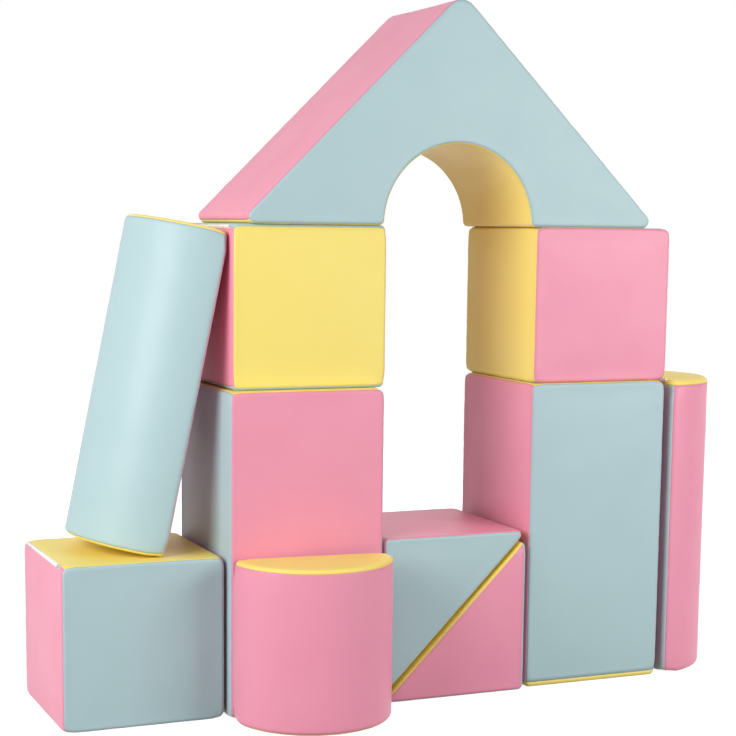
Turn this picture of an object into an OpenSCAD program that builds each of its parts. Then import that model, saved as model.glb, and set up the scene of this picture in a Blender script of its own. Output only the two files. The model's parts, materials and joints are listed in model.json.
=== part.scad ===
// A set of giant soft building blocks, stacked as a small house: three cubes, two pillars,
// two wedges, three half-rounds and an arched roof. Each block is a foam core in a sewn
// cover of pink, blue and yellow leatherette that closes with a zip.

/* [Blocks] */
// Edge of a cube, and the width and depth of every other block
cube_side = 300; // [285:1:315]
// Height of the two pillars
pillar_h = 600; // [560:5:640]
// Height of the short half-round
drum_h = 300; // [280:5:320]
// Length of the two long half-rounds
column_h = 600; // [580:5:600]
// Width of the roof along its feet, measured to sharp corners
roof_w = 870; // [840:5:900]
// Height of the roof, measured to a sharp ridge
roof_h = 428; // [400:4:460]
// Radius of the arch through the roof
arch_r = 152; // [140:1:155]

/* [Covers] */
// Thickness of the cover
cover_t = 1.5; // [1:0.1:2.5]
// Radius of the edges round the front and back panels
edge_r = 12; // [10:0.5:14]
// Radius of the edges that run from front to back
corner_r = 10; // [8:0.5:11]
// Radius of a wedge's two thin edges
tip_r = 14; // [13:0.5:18]
// Radius of the roof's two thin edges
eave_r = 16; // [12:1:20]
// Radius of the roof's ridge
ridge_r = 35; // [20:1:45]
// How far the sloping panel of a wedge stands proud of its seams
slope_crown = 6; // [3:0.5:8]

/* [Zips] */
// Turn of the front cube's zip from the top of its edge to the side
open_zip_turn = 45; // [40:1:60]
// Turn of the upper left cube's zip, which stays below the roof's foot
covered_zip_turn = 62; // [62:0.5:63]
// Width of a zip across both tapes
zip_w = 8.5; // [7:0.5:8.5]
// Distance from a zip's end to the end of the block
zip_margin = 20; // [18:1:40]
// Radius of the closed coil
coil_r = 1.5; // [1:0.1:2]
// Length of a slider
slider_l = 12; // [9:0.5:16]
// Width of a slider
slider_w = 8; // [6.5:0.5:9]
// Height of a slider's body above the tapes
slider_h = 3.4; // [2.8:0.1:4]

/* [Stack] */
// Gap between the front cube and the left pillar
front_gap = 6; // [5:0.5:20]
// Setback of the front cube behind the left pillar's face
front_setback = 16; // [0:1:40]
// Shift of the upper left cube to the right on its pillar
left_shift = 14; // [0:1:30]
// Setback of the upper left cube behind the left pillar's face
left_setback = 31; // [0:1:60]
// Gap between the left pillar and the wedges
wedge_gap = 5; // [4:0.5:15]
// Setback of the wedges behind the left pillar's face
wedge_setback = 2; // [0:1:20]
// Gap between the wedges and the right pillar
door_gap = 10; // [8:0.5:30]
// Setback of the right pillar behind the left pillar's face
right_setback = 12; // [0:1:40]
// Shift of the upper right cube to the right on its pillar
right_shift = 7; // [0:1:30]
// Setback of the upper right cube behind the right pillar's face
upper_setback = 10; // [0:1:40]
// Setback of the roof behind the left pillar's face
roof_setback = 22; // [0:1:40]
// Turn of the short half-round away from the left pillar's face
drum_turn = 5; // [0:0.5:8]
// Gap between the short half-round and the left pillar's face at its nearest edge
drum_gap = 2; // [1:0.5:10]
// Distance from the left pillar to the foot of the leaning half-round
lean_foot = 116; // [90:1:150]
// Setback of the leaning half-round behind the left pillar's face
lean_setback = 42; // [20:1:60]
// Gap between the right pillar and the standing half-round
column_gap = 17; // [8:1:40]
// Setback of the standing half-round behind the left pillar's face
column_setback = 9; // [0:1:40]

/* [Hidden] */
$fn = 64;

// Colours of the foam, the three leatherettes, the zips and their sliders
foam_colour = "#F3EBD3";
pink = "#F2AFC6";
blue = "#A9C9CE";
yellow = "#F1E08A";
zip_colour = "#F7F5F0";
slider_colour = "#8E948F";

// Cuts and helper shapes run past what they trim by this much
overrun = 5;
// Depth to which the seams between panels are mitred, well below the cover
mitre = 3 * edge_r;
// Clearance of what slides on, or leans on, something else
run_gap = 0.3;
// Depth that reaches across any block
reach = roof_w;

// Widths shared by the blocks of the set
half_r = cube_side / 2;
block_d = cube_side;
// A wedge's legs, measured to the top of its crowned slope
wedge_leg = cube_side + slope_crown * sqrt(2);
wedge_lift = slope_crown * sqrt(2);
roof_slope = atan2(roof_h, roof_w / 2);
// Centre of the half-round's edge between its flat and its curve
drum_edge_x = sqrt(pow(half_r - corner_r, 2) - pow(corner_r, 2));
// Centre of the rounding at the arch's feet
arch_edge_x = sqrt(pow(arch_r + corner_r, 2) - pow(corner_r, 2));

// The tapes lie in a slot between two panels, clear of its sides
tape_w = zip_w - 2 * run_gap;
// Slider details, from the slider's own sizes
channel_w = 2 * (coil_r + run_gap);
channel_h = coil_r + coil_r / 2;
loop_r = slider_w / 4;
loop_hole_r = loop_r / 2;
loop_w = slider_w / 4;
coil_lift = coil_r / 4;
stop_l = coil_r * 2;
stop_w = zip_w / 2;
stop_h = coil_r + coil_lift;

// Places of the blocks, from the front left foot of the left pillar
wedge_x = cube_side + wedge_gap;
right_x = wedge_x + cube_side + door_gap;
column_x = right_x + cube_side + column_gap;
roof_x = (cube_side + right_x) / 2;
drum_y = -drum_gap - half_r * sin(drum_turn);
cube_z = pillar_h;
roof_z = pillar_h + cube_side;
lean_y = lean_setback + half_r;
lean_z = cube_side + run_gap + edge_r;
lean_run = lean_foot + left_shift - run_gap - edge_r;
lean_angle = asin(lean_run / (column_h - 2 * edge_r));

// The origin is on the floor, under the middle of the set's box
left_end = -front_gap - cube_side;
right_end = column_x + half_r;
front_end = drum_y - half_r;
back_end = lean_y + half_r;
origin = [(left_end + right_end) / 2, (front_end + back_end) / 2, 0];

function unit(v) = v / norm(v);
function half_angle(a, b, c) = acos(unit(a - b) * unit(c - b)) / 2;
// Centre of a circle of radius r that touches both sides of corner b
function corner(a, b, c, r) = b + unit(unit(a - b) + unit(c - b)) * r / sin(half_angle(a, b, c));
// Point where that circle touches the side from b to a
function touch(a, b, c, r) = b + unit(a - b) * r / tan(half_angle(a, b, c));
function before(pts, i) = pts[(i + len(pts) - 1) % len(pts)];
function after(pts, i) = pts[(i + 1) % len(pts)];
// The outline moved inwards by d, corner for corner
function inset(pts, d) = [for (i = [0 : len(pts) - 1]) corner(before(pts, i), pts[i], after(pts, i), d)];
function less(values, d) = [for (v = values) v - d];

// A convex outline with each corner rounded to its own radius
module rounded(pts, radii) {
    last = len(pts) - 1;
    polygon([
        for (i = [0 : last])
            each [
                touch(before(pts, i), pts[i], after(pts, i), radii[i]),
                touch(after(pts, i), pts[i], before(pts, i), radii[i])
            ]
    ]);
    for (i = [0 : last])
        translate(corner(before(pts, i), pts[i], after(pts, i), radii[i]))
            circle(radii[i]);
}

// Section across an edge: x runs from the front to the back, y goes inwards from the panel
module lid(r, crown = 0, t = 0) {
    low = crown + t;
    near = t;
    far = block_d - t;
    fillet = r - t;
    polygon([
        [near, low + fillet], [near + fillet, low], [far - fillet, low], [far, low + fillet],
        [far, reach], [near, reach]
    ]);
    for (x = [near + fillet, far - fillet])
        translate([x, low + fillet])
            circle(fillet);
    if (crown > 0)
        crown_arc(far - near - 2 * fillet, crown, low, near + fillet);
}

// Shallow arc that lifts a panel's middle by the crown
module crown_arc(chord, rise, base, start) {
    arc_r = (chord * chord / rise + 4 * rise) / 8;
    intersection() {
        translate([start + chord / 2, base - rise + arc_r])
            circle(arc_r, $fn = 256);
        translate([start, base - rise - overrun])
            square([chord, rise + 2 * overrun]);
    }
}

// Sections of a side panel and of the front panel, cut at the mitred seams
module side_section(r, crown = 0) {
    intersection() {
        lid(r, crown);
        polygon([
            [0, crown], [0, -overrun], [block_d, -overrun], [block_d, crown],
            [block_d - mitre, crown + mitre], [mitre, crown + mitre]
        ]);
    }
}

module front_section(r, crown = 0) {
    intersection() {
        lid(r, crown);
        polygon([[0, crown], [mitre, crown + mitre], [mitre, reach], [0, reach]]);
    }
}

// An outline in the x, z plane carried from the front to the back
module sweep(from = 0, to = block_d) {
    translate([0, to, 0])
        rotate([90, 0, 0])
            linear_extrude(to - from)
                children();
}

// A section carried along the side from p to q, and past the whole block at both ends
module along(p, q) {
    translate([p.x, 0, p.y])
        rotate([0, -atan2(q.y - p.y, q.x - p.x), 0])
            translate([-reach, 0, 0])
                rotate([90, 0, 90])
                    linear_extrude(norm(q - p) + 2 * reach)
                        children();
}

// Strip of the outline that belongs to side i, between the lines that halve its corners
module side_strip(pts, i) {
    inner = inset(pts, mitre);
    polygon([pts[i], after(pts, i), after(inner, i), inner[i]]);
}

// Foam core of a block with a convex outline
module prism_core(pts, radii, crowns) {
    intersection() {
        sweep(cover_t, block_d - cover_t)
            rounded(inset(pts, cover_t), less(radii, cover_t));
        intersection_for(i = [0 : len(pts) - 1])
            along(pts[i], after(pts, i))
                lid(edge_r, crowns[i], cover_t);
    }
}

// Front and back panels of such a block
module prism_ends(pts, radii, crowns) {
    for (back = [0, 1])
        translate([0, back * block_d, 0])
            mirror([0, back, 0])
                difference() {
                    intersection() {
                        sweep(0, mitre)
                            rounded(pts, radii);
                        intersection_for(i = [0 : len(pts) - 1])
                            along(pts[i], after(pts, i))
                                front_section(edge_r, crowns[i]);
                    }
                    prism_core(pts, radii, crowns);
                }
}

// One side panel of such a block
module prism_side(pts, radii, crowns, i) {
    difference() {
        intersection() {
            sweep()
                intersection() {
                    rounded(pts, radii);
                    side_strip(pts, i);
                }
            along(pts[i], after(pts, i))
                side_section(edge_r, crowns[i]);
        }
        prism_core(pts, radii, crowns);
    }
}

// Outline, radii and crowns of a box, by its height
function box_pts(h) = [[0, 0], [cube_side, 0], [cube_side, h], [0, h]];
box_radii = [corner_r, corner_r, corner_r, corner_r];
box_crowns = [0, 0, 0, 0];

module box_core(h) prism_core(box_pts(h), box_radii, box_crowns);
module box_ends(h) prism_ends(box_pts(h), box_radii, box_crowns);
module box_caps(h) {
    for (i = [0, 2])
        prism_side(box_pts(h), box_radii, box_crowns, i);
}
module box_sides(h) {
    for (i = [1, 3])
        prism_side(box_pts(h), box_radii, box_crowns, i);
}

// Wedges: the lower one has its right angle at the foot, the upper one is the same turned over
wedge_pts = [[-wedge_lift, 0], [cube_side, 0], [cube_side, wedge_leg]];
wedge_radii = [tip_r, corner_r, tip_r];
wedge_crowns = [0, 0, slope_crown];

module wedge_core() prism_core(wedge_pts, wedge_radii, wedge_crowns);
module wedge_ends() prism_ends(wedge_pts, wedge_radii, wedge_crowns);
module wedge_legs() {
    for (i = [0, 1])
        prism_side(wedge_pts, wedge_radii, wedge_crowns, i);
}
module wedge_slope() prism_side(wedge_pts, wedge_radii, wedge_crowns, 2);

// Half-rounds stand on one end, with the flat at y = 0 and the curve in front of it
module drum_plan(t) {
    difference() {
        intersection() {
            circle(half_r - t);
            translate([-reach, -reach - t])
                square([2 * reach, reach]);
        }
        for (side = [-1, 1])
            scale([side, 1])
                polygon([
                    [drum_edge_x, -corner_r], [drum_edge_x, overrun], [half_r + overrun, overrun],
                    unit([drum_edge_x, -corner_r]) * (half_r + overrun)
                ]);
    }
    for (side = [-1, 1])
        translate([side * drum_edge_x, -corner_r])
            circle(corner_r - t);
}

// Section of the curve and of the flat: x goes up the block, y goes inwards
module drum_section(h, t) {
    fillet = edge_r - t;
    polygon([
        [t, edge_r], [edge_r, t], [h - edge_r, t], [h - t, edge_r], [h - t, reach], [t, reach]
    ]);
    for (x = [edge_r, h - edge_r])
        translate([x, edge_r])
            circle(fillet);
}

module drum_side_cut(h) polygon([[0, 0], [h, 0], [h - mitre, mitre], [mitre, mitre]]);
module drum_end_cut(h) {
    polygon([[0, 0], [mitre, mitre], [mitre, reach], [0, reach]]);
    polygon([[h, 0], [h, reach], [h - mitre, reach], [h - mitre, mitre]]);
}
module drum_flat_strip() {
    polygon([[-half_r, 0], [-half_r + mitre, -mitre], [half_r - mitre, -mitre], [half_r, 0]]);
}

// A section turned about the half-round's axis, or carried along its flat
module drum_turned() {
    rotate_extrude()
        intersection() {
            translate([half_r, 0])
                rotate(90)
                    children();
            square([half_r, reach]);
        }
}
module drum_flat_run() {
    translate([-reach, 0, 0])
        rotate([180, -90, 0])
            linear_extrude(2 * reach)
                children();
}

module drum_core(h) {
    intersection() {
        drum_turned()
            drum_section(h, cover_t);
        drum_flat_run()
            drum_section(h, cover_t);
        linear_extrude(h)
            drum_plan(cover_t);
    }
}
module drum_ends(h) {
    difference() {
        intersection() {
            drum_turned()
                intersection() {
                    drum_section(h, 0);
                    drum_end_cut(h);
                }
            drum_flat_run()
                intersection() {
                    drum_section(h, 0);
                    drum_end_cut(h);
                }
        }
        drum_core(h);
    }
}
module drum_flat(h) {
    difference() {
        intersection() {
            drum_flat_run()
                intersection() {
                    drum_section(h, 0);
                    drum_side_cut(h);
                }
            linear_extrude(h)
                intersection() {
                    drum_plan(0);
                    drum_flat_strip();
                }
        }
        drum_core(h);
    }
}
module drum_curve(h) {
    difference() {
        intersection() {
            drum_turned()
                intersection() {
                    drum_section(h, 0);
                    drum_side_cut(h);
                }
            linear_extrude(h)
                difference() {
                    drum_plan(0);
                    drum_flat_strip();
                }
        }
        drum_core(h);
    }
}

// Roof: a triangle standing on its two feet, with the arch cut between them
roof_pts = [[-roof_w / 2, 0], [roof_w / 2, 0], [0, roof_h]];
roof_radii = [eave_r, eave_r, ridge_r];

module roof_outline(t) {
    difference() {
        rounded(inset(roof_pts, t), less(roof_radii, t));
        circle(arch_r + t);
        for (side = [-1, 1])
            scale([side, 1])
                polygon([[0, 0], [arch_edge_x, corner_r], [arch_edge_x, -overrun], [0, -overrun]]);
    }
    for (side = [-1, 1])
        translate([side * arch_edge_x, corner_r])
            circle(corner_r - t);
}

// A section turned about the axis of the arch
module arch_turned() {
    rotate([-90, 0, 0])
        rotate_extrude()
            translate([arch_r, 0])
                mirror([1, -1])
                    children();
}

module roof_core() {
    intersection() {
        sweep(cover_t, block_d - cover_t)
            roof_outline(cover_t);
        intersection_for(i = [0 : 2])
            along(roof_pts[i], after(roof_pts, i))
                lid(edge_r, 0, cover_t);
        arch_turned()
            lid(edge_r, 0, cover_t);
    }
}
module roof_ends() {
    for (back = [0, 1])
        translate([0, back * block_d, 0])
            mirror([0, back, 0])
                difference() {
                    intersection() {
                        sweep(0, mitre)
                            roof_outline(0);
                        intersection_for(i = [0 : 2])
                            along(roof_pts[i], after(roof_pts, i))
                                front_section(edge_r);
                        arch_turned()
                            front_section(edge_r);
                    }
                    roof_core();
                }
}
// Both slopes are one panel, wrapped over the ridge
module roof_slopes() {
    inner = inset(roof_pts, mitre);
    difference() {
        intersection() {
            sweep()
                intersection() {
                    roof_outline(0);
                    polygon([roof_pts[1], roof_pts[2], roof_pts[0], inner[0], inner[2], inner[1]]);
                }
            intersection_for(i = [1, 2])
                along(roof_pts[i], after(roof_pts, i))
                    lid(edge_r);
        }
        for (back = [0, 1])
            translate([0, back * block_d, 0])
                mirror([0, back, 0])
                    intersection_for(i = [1, 2])
                        along(roof_pts[i], after(roof_pts, i))
                            polygon([
                                [-overrun, -overrun], [mitre, mitre], [mitre, reach], [-overrun, reach]
                            ]);
        roof_core();
    }
}

// Strip above the arch, between the lines that halve the corners at its feet
module arch_strip() {
    polygon([
        [-arch_r, 0], [arch_r, 0], [arch_r + mitre, mitre], [arch_r + mitre, roof_h],
        [-arch_r - mitre, roof_h], [-arch_r - mitre, mitre]
    ]);
}
module roof_feet() {
    difference() {
        intersection() {
            sweep()
                difference() {
                    intersection() {
                        roof_outline(0);
                        side_strip(roof_pts, 0);
                    }
                    arch_strip();
                }
            along(roof_pts[0], roof_pts[1])
                side_section(edge_r);
        }
        roof_core();
    }
}
module roof_arch() {
    difference() {
        intersection() {
            sweep()
                intersection() {
                    roof_outline(0);
                    arch_strip();
                }
            arch_turned()
                side_section(edge_r);
        }
        roof_core();
    }
}

// Zips lie on an edge: x runs along the zip and z points out from the centre of the edge's radius.
// Flat is 0 on the round of an edge, or the side, -1 or 1, on which the zip lies on the panel.
module zip_round(r, flat) {
    circle(r);
    if (flat != 0)
        scale([flat, 1])
            square([zip_w, r]);
}
module zip_slot(r, run) {
    translate([-run_gap, -zip_w / 2, r / 2])
        cube([run + 2 * run_gap, zip_w, r]);
}
module zip_tape(r, run, flat = 0) {
    rotate([90, 0, 90])
        linear_extrude(run)
            difference() {
                intersection() {
                    zip_round(r, flat);
                    translate([-tape_w / 2, 0])
                        square([tape_w, 2 * r]);
                }
                zip_round(r - cover_t, flat);
            }
    translate([0, 0, r + coil_lift])
        rotate([0, 90, 0])
            cylinder(r = coil_r, h = run);
    for (x = [0, run - stop_l])
        translate([x, -stop_w / 2, r - cover_t / 2])
            cube([stop_l, stop_w, stop_h + cover_t / 2]);
}
module zip_slider(r) {
    translate([stop_l + run_gap, 0, r + run_gap]) {
        difference() {
            union() {
                translate([0, -slider_w / 2, 0])
                    cube([slider_l - slider_w / 2, slider_w, slider_h]);
                translate([slider_l - slider_w / 2, 0, 0])
                    cylinder(d = slider_w, h = slider_h);
            }
            translate([-overrun, -channel_w / 2, -overrun])
                cube([slider_l + 2 * overrun, channel_w, channel_h + overrun]);
        }
        translate([slider_l / 2, loop_w / 2, slider_h])
            rotate([90, 0, 0])
                linear_extrude(loop_w)
                    difference() {
                        circle(loop_r);
                        circle(loop_hole_r);
                        translate([-slider_w, -slider_w])
                            square([2 * slider_w, slider_w]);
                    }
    }
}

// A slider run to the far end of its zip
module far_zip_slider(r, run) {
    translate([run, 0, 0])
        mirror([1, 0, 0])
            zip_slider(r);
}

cube_zip = cube_side - 2 * zip_margin;
pillar_zip = pillar_h - 2 * zip_margin;
drum_zip = drum_h - 2 * zip_margin;
flat_zip = 2 * drum_edge_x - 2 * zip_margin;
wedge_zip = block_d - 2 * zip_margin;
leg_zip = cube_side - 2 * zip_margin - corner_r;
roof_edge = norm([roof_w / 2, roof_h]);
roof_zip_start = ridge_r + zip_margin;
roof_zip = roof_edge - roof_zip_start - 4 * eave_r - zip_margin;

// Where each block's zip starts, in the block's own frame
module top_left_zip(turn) {
    translate([corner_r, zip_margin, cube_side - corner_r])
        rotate([-turn, 0, 90])
            children();
}
module back_left_zip() {
    translate([edge_r, block_d - edge_r, zip_margin])
        rotate([0, -90, -45])
            children();
}
module back_right_zip() {
    translate([cube_side - edge_r, block_d - edge_r, zip_margin])
        rotate([0, -90, 225])
            children();
}
module wedge_tip_zip() {
    tip = corner(wedge_pts[1], wedge_pts[2], wedge_pts[0], tip_r);
    translate([tip.x, zip_margin, tip.y])
        rotate([90, 0, 90])
            children();
}
module wedge_back_zip() {
    translate([cube_side - edge_r, block_d - edge_r, corner_r + zip_margin])
        rotate([0, -90, 225])
            children();
}
module drum_edge_zip() {
    translate([drum_edge_x, -corner_r, zip_margin])
        rotate([0, -90, 225])
            children();
}
module flat_top_zip() {
    translate([zip_margin - drum_edge_x, -edge_r, column_h - edge_r])
        rotate([-45, 0, 0])
            children();
}
module flat_foot_zip() {
    translate([drum_edge_x - zip_margin, -edge_r, edge_r])
        rotate([90, 0, 180])
            children();
}
module roof_back_zip() {
    translate([0, block_d - edge_r, roof_h])
        rotate([0, roof_slope, 0])
            translate([roof_zip_start, 0, -edge_r])
                rotate([-45, 0, 0])
                    children();
}

// Where each block stands
module at(place) {
    translate(place - origin)
        children();
}
module at_left_pillar() at([0, 0, 0]) children();
module at_right_pillar() at([right_x, right_setback, 0]) children();
module at_front_cube() at([left_end, front_setback, 0]) children();
module at_left_cube() at([left_shift, left_setback, cube_z]) children();
module at_right_cube() at([right_x + right_shift, right_setback + upper_setback, cube_z]) children();
module at_lower_wedge() at([wedge_x, wedge_setback, 0]) children();
module at_upper_wedge() {
    at([wedge_x + cube_side, wedge_setback, wedge_leg + wedge_lift + run_gap])
        rotate([0, 180, 0])
            children();
}
module at_short_drum() {
    at([half_r, drum_y, 0])
        rotate([0, 0, -drum_turn])
            children();
}
module at_leaning_column() {
    at([-lean_foot, lean_y, lean_z])
        rotate([0, lean_angle, 0])
            rotate([0, 0, -90])
                translate([0, edge_r, -edge_r])
                    children();
}
module at_right_column() {
    at([column_x, column_setback + half_r, 0])
        rotate([0, 0, 90])
            children();
}
module at_roof() at([roof_x, roof_setback, roof_z]) children();

// Left pillar
module left_pillar_foam() color(foam_colour) at_left_pillar() box_core(pillar_h);
module left_pillar_pink() {
    color(pink)
        at_left_pillar()
            difference() {
                box_ends(pillar_h);
                back_left_zip() zip_slot(edge_r, pillar_zip);
            }
}
module left_pillar_blue() {
    color(blue)
        at_left_pillar() {
            difference() {
                box_sides(pillar_h);
                back_left_zip() zip_slot(edge_r, pillar_zip);
            }
            back_left_zip() zip_tape(edge_r, pillar_zip);
        }
}
module left_pillar_yellow() color(yellow) at_left_pillar() box_caps(pillar_h);
module left_pillar_slider() color(slider_colour) at_left_pillar() back_left_zip() zip_slider(edge_r);

// Right pillar
module right_pillar_foam() color(foam_colour) at_right_pillar() box_core(pillar_h);
module right_pillar_pink() {
    color(pink)
        at_right_pillar() {
            difference() {
                box_sides(pillar_h);
                back_right_zip() zip_slot(edge_r, pillar_zip);
            }
            back_right_zip() zip_tape(edge_r, pillar_zip);
        }
}
module right_pillar_blue() {
    color(blue)
        at_right_pillar()
            difference() {
                box_ends(pillar_h);
                back_right_zip() zip_slot(edge_r, pillar_zip);
            }
}
module right_pillar_yellow() color(yellow) at_right_pillar() box_caps(pillar_h);
module right_pillar_slider() color(slider_colour) at_right_pillar() back_right_zip() zip_slider(edge_r);

// Front cube
module front_cube_foam() color(foam_colour) at_front_cube() box_core(cube_side);
module front_cube_pink() {
    color(pink)
        at_front_cube()
            difference() {
                box_sides(cube_side);
                top_left_zip(open_zip_turn) zip_slot(corner_r, cube_zip);
            }
}
module front_cube_blue() color(blue) at_front_cube() box_ends(cube_side);
module front_cube_yellow() {
    color(yellow)
        at_front_cube()
            difference() {
                box_caps(cube_side);
                top_left_zip(open_zip_turn) zip_slot(corner_r, cube_zip);
            }
}
module front_cube_zip() {
    color(zip_colour)
        at_front_cube()
            top_left_zip(open_zip_turn)
                zip_tape(corner_r, cube_zip);
}
module front_cube_slider() {
    color(slider_colour)
        at_front_cube()
            top_left_zip(open_zip_turn)
                zip_slider(corner_r);
}

// Upper left cube
module left_cube_foam() color(foam_colour) at_left_cube() box_core(cube_side);
module left_cube_pink() {
    color(pink)
        at_left_cube()
            difference() {
                box_sides(cube_side);
                top_left_zip(covered_zip_turn) zip_slot(corner_r, cube_zip);
            }
}
module left_cube_blue() {
    color(blue)
        at_left_cube()
            difference() {
                box_caps(cube_side);
                top_left_zip(covered_zip_turn) zip_slot(corner_r, cube_zip);
            }
}
module left_cube_yellow() color(yellow) at_left_cube() box_ends(cube_side);
module left_cube_zip() {
    color(zip_colour)
        at_left_cube()
            top_left_zip(covered_zip_turn)
                zip_tape(corner_r, cube_zip);
}
module left_cube_slider() {
    color(slider_colour)
        at_left_cube()
            top_left_zip(covered_zip_turn)
                far_zip_slider(corner_r, cube_zip);
}

// Upper right cube
module right_cube_foam() color(foam_colour) at_right_cube() box_core(cube_side);
module right_cube_pink() {
    color(pink)
        at_right_cube()
            difference() {
                box_ends(cube_side);
                back_right_zip() zip_slot(edge_r, cube_zip);
            }
}
module right_cube_blue() color(blue) at_right_cube() box_caps(cube_side);
module right_cube_yellow() {
    color(yellow)
        at_right_cube() {
            difference() {
                box_sides(cube_side);
                back_right_zip() zip_slot(edge_r, cube_zip);
            }
            back_right_zip() zip_tape(edge_r, cube_zip);
        }
}
module right_cube_slider() color(slider_colour) at_right_cube() back_right_zip() zip_slider(edge_r);

// Upper wedge
module upper_wedge_foam() color(foam_colour) at_upper_wedge() wedge_core();
module upper_wedge_pink() {
    color(pink)
        at_upper_wedge() {
            difference() {
                wedge_legs();
                wedge_back_zip() zip_slot(edge_r, leg_zip);
            }
            wedge_back_zip() zip_tape(edge_r, leg_zip);
        }
}
module upper_wedge_blue() {
    color(blue)
        at_upper_wedge()
            difference() {
                wedge_ends();
                wedge_back_zip() zip_slot(edge_r, leg_zip);
            }
}
module upper_wedge_yellow() color(yellow) at_upper_wedge() wedge_slope();
module upper_wedge_slider() color(slider_colour) at_upper_wedge() wedge_back_zip() zip_slider(edge_r);

// Lower wedge
module lower_wedge_foam() color(foam_colour) at_lower_wedge() wedge_core();
module lower_wedge_pink() color(pink) at_lower_wedge() wedge_ends();
module lower_wedge_blue() {
    color(blue)
        at_lower_wedge()
            difference() {
                wedge_legs();
                wedge_tip_zip() zip_slot(tip_r, wedge_zip);
            }
}
module lower_wedge_yellow() color(yellow) at_lower_wedge() wedge_slope();
module lower_wedge_zip() {
    color(zip_colour)
        at_lower_wedge()
            wedge_tip_zip()
                zip_tape(tip_r, wedge_zip, -1);
}
module lower_wedge_slider() color(slider_colour) at_lower_wedge() wedge_tip_zip() zip_slider(tip_r);

// Short half-round
module short_drum_foam() color(foam_colour) at_short_drum() drum_core(drum_h);
module short_drum_pink() {
    color(pink)
        at_short_drum() {
            difference() {
                drum_curve(drum_h);
                drum_edge_zip() zip_slot(corner_r, drum_zip);
            }
            drum_edge_zip() zip_tape(corner_r, drum_zip);
        }
}
module short_drum_blue() {
    color(blue)
        at_short_drum()
            difference() {
                drum_flat(drum_h);
                drum_edge_zip() zip_slot(corner_r, drum_zip);
            }
}
module short_drum_yellow() color(yellow) at_short_drum() drum_ends(drum_h);
module short_drum_slider() color(slider_colour) at_short_drum() drum_edge_zip() zip_slider(corner_r);

// Leaning half-round
module leaning_column_foam() color(foam_colour) at_leaning_column() drum_core(column_h);
module leaning_column_pink() {
    color(pink)
        at_leaning_column()
            difference() {
                drum_flat(column_h);
                flat_foot_zip() zip_slot(edge_r, flat_zip);
            }
}
module leaning_column_blue() color(blue) at_leaning_column() drum_curve(column_h);
module leaning_column_yellow() color(yellow) at_leaning_column() drum_ends(column_h);
module leaning_column_zip() {
    color(zip_colour)
        at_leaning_column()
            flat_foot_zip()
                zip_tape(edge_r, flat_zip, 1);
}
module leaning_column_slider() {
    color(slider_colour)
        at_leaning_column()
            flat_foot_zip()
                zip_slider(edge_r);
}

// Standing half-round
module right_column_foam() color(foam_colour) at_right_column() drum_core(column_h);
module right_column_pink() color(pink) at_right_column() drum_curve(column_h);
module right_column_blue() {
    color(blue)
        at_right_column()
            difference() {
                drum_flat(column_h);
                flat_top_zip() zip_slot(edge_r, flat_zip);
            }
}
module right_column_yellow() {
    color(yellow)
        at_right_column()
            difference() {
                drum_ends(column_h);
                flat_top_zip() zip_slot(edge_r, flat_zip);
            }
}
module right_column_zip() color(zip_colour) at_right_column() flat_top_zip() zip_tape(edge_r, flat_zip);
module right_column_slider() color(slider_colour) at_right_column() flat_top_zip() zip_slider(edge_r);

// Roof
module roof_foam() color(foam_colour) at_roof() roof_core();
module roof_pink() {
    color(pink)
        at_roof() {
            difference() {
                roof_slopes();
                roof_back_zip() zip_slot(edge_r, roof_zip);
            }
            roof_back_zip() zip_tape(edge_r, roof_zip);
        }
}
module roof_blue() {
    color(blue)
        at_roof()
            difference() {
                roof_ends();
                roof_back_zip() zip_slot(edge_r, roof_zip);
            }
}
module roof_yellow() {
    color(yellow)
        at_roof() {
            roof_feet();
            roof_arch();
        }
}
module roof_slider() color(slider_colour) at_roof() roof_back_zip() zip_slider(edge_r);

left_pillar_foam();
left_pillar_pink();
left_pillar_blue();
left_pillar_yellow();
left_pillar_slider();
right_pillar_foam();
right_pillar_pink();
right_pillar_blue();
right_pillar_yellow();
right_pillar_slider();
front_cube_foam();
front_cube_pink();
front_cube_blue();
front_cube_yellow();
front_cube_zip();
front_cube_slider();
left_cube_foam();
left_cube_pink();
left_cube_blue();
left_cube_yellow();
left_cube_zip();
left_cube_slider();
right_cube_foam();
right_cube_pink();
right_cube_blue();
right_cube_yellow();
right_cube_slider();
upper_wedge_foam();
upper_wedge_pink();
upper_wedge_blue();
upper_wedge_yellow();
upper_wedge_slider();
lower_wedge_foam();
lower_wedge_pink();
lower_wedge_blue();
lower_wedge_yellow();
lower_wedge_zip();
lower_wedge_slider();
short_drum_foam();
short_drum_pink();
short_drum_blue();
short_drum_yellow();
short_drum_slider();
leaning_column_foam();
leaning_column_pink();
leaning_column_blue();
leaning_column_yellow();
leaning_column_zip();
leaning_column_slider();
right_column_foam();
right_column_pink();
right_column_blue();
right_column_yellow();
right_column_zip();
right_column_slider();
roof_foam();
roof_pink();
roof_blue();
roof_yellow();
roof_slider();
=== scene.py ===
import json
import math

import bmesh
import bpy
import numpy as np
from mathutils import Matrix, Vector, kdtree, noise


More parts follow.
